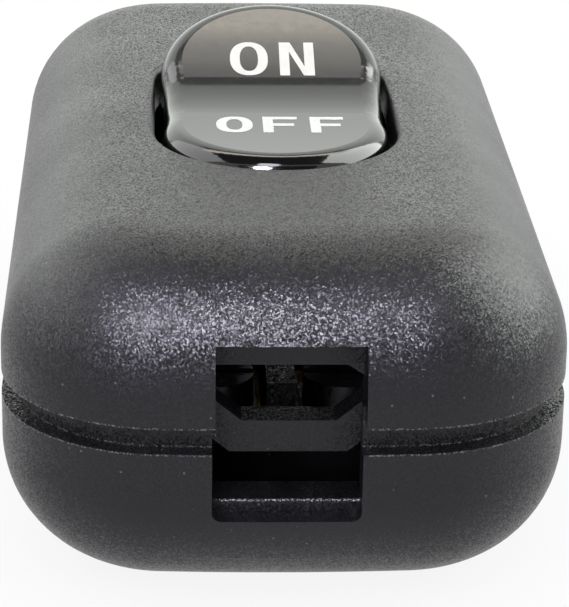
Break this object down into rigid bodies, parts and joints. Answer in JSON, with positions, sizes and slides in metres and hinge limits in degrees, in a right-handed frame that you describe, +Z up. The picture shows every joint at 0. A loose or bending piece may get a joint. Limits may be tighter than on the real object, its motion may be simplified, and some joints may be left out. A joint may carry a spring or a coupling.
{
  "type": "inline cord switch",
  "caption": "Inline cord switch: split moulded housing with a glossy rocker marked ON and OFF, a cord window with a sprung strain-relief loop at each end, and rocking contact blades inside.",
  "frame": {"origin": "centre of the flat base, on the surface that the switch rests on", "axes": "+Z up through the rocker, +Y along the cord towards the ON end of the rocker, +X across the housing"},
  "size_m": [0.03, 0.0558, 0.0226],
  "materials": {
    "shell_plastic": "fine spark-eroded moulding grain",
    "rocker_plastic": "polished black with white letters",
    "plunger_plastic": "natural acetal",
    "spring_steel": "drawn spring wire",
    "blade_bronze": "rolled phosphor bronze strip",
    "contact_silver": "silver alloy rivet",
    "terminal_brass": "stamped brass strip",
    "screw_steel": "zinc-plated steel"
  },
  "bodies": {
    "housing": {"upper_shell": "shell_plastic", "lower_shell": "shell_plastic", "fixed_contact_left": "contact_silver", "fixed_terminal_left": "terminal_brass", "pivot_terminal_left": "terminal_brass", "terminal_screw_left_front": "screw_steel", "clamp_plate_left_front": "screw_steel", "terminal_screw_left_rear": "screw_steel", "clamp_plate_left_rear": "screw_steel", "fixed_contact_right": "contact_silver", "fixed_terminal_right": "terminal_brass", "pivot_terminal_right": "terminal_brass", "terminal_screw_right_front": "screw_steel", "clamp_plate_right_front": "screw_steel", "terminal_screw_right_rear": "screw_steel", "clamp_plate_right_rear": "screw_steel", "housing_screw_front": "screw_steel", "housing_screw_rear": "screw_steel"},
    "rocker": {"rocker": "rocker_plastic", "plunger_spring_left": "spring_steel", "plunger_spring_right": "spring_steel"},
    "plunger_left": {"plunger_left": "plunger_plastic"},
    "blade_left": {"contact_blade_left": "blade_bronze", "moving_contact_left": "contact_silver"},
    "plunger_right": {"plunger_right": "plunger_plastic"},
    "blade_right": {"contact_blade_right": "blade_bronze", "moving_contact_right": "contact_silver"}
  },
  "joints": [
    {"name": "rocker_tilt", "type": "hinge", "parent": "housing", "child": "rocker", "pos_m": [0, 0, 0.015], "axis": [-1, 0, 0], "range_deg": [0, 20]},
    {"name": "blade_rock_left", "type": "hinge", "parent": "housing", "child": "blade_left", "pos_m": [-0.00375, 0, 0.00585], "axis": [-1, 0, 0], "range_deg": [-20, 0]},
    {"name": "plunger_slide_left", "type": "slide", "parent": "rocker", "child": "plunger_left", "axis": [0, -0.1736, 0.9848], "range_m": [0, 0.0008], "stiffness_N_per_m": 50, "deforming": ["plunger_spring_left"]},
    {"name": "blade_rock_right", "type": "hinge", "parent": "housing", "child": "blade_right", "pos_m": [0.00375, 0, 0.00585], "axis": [-1, 0, 0], "range_deg": [-20, 0]},
    {"name": "plunger_slide_right", "type": "slide", "parent": "rocker", "child": "plunger_right", "axis": [0, -0.1736, 0.9848], "range_m": [0, 0.0008], "stiffness_N_per_m": 50, "deforming": ["plunger_spring_right"]}
  ],
  "couplings": [
    {"joint": "blade_rock_left", "follows": "rocker_tilt", "ratio": -1},
    {"joint": "blade_rock_right", "follows": "rocker_tilt", "ratio": -1}
  ]
}
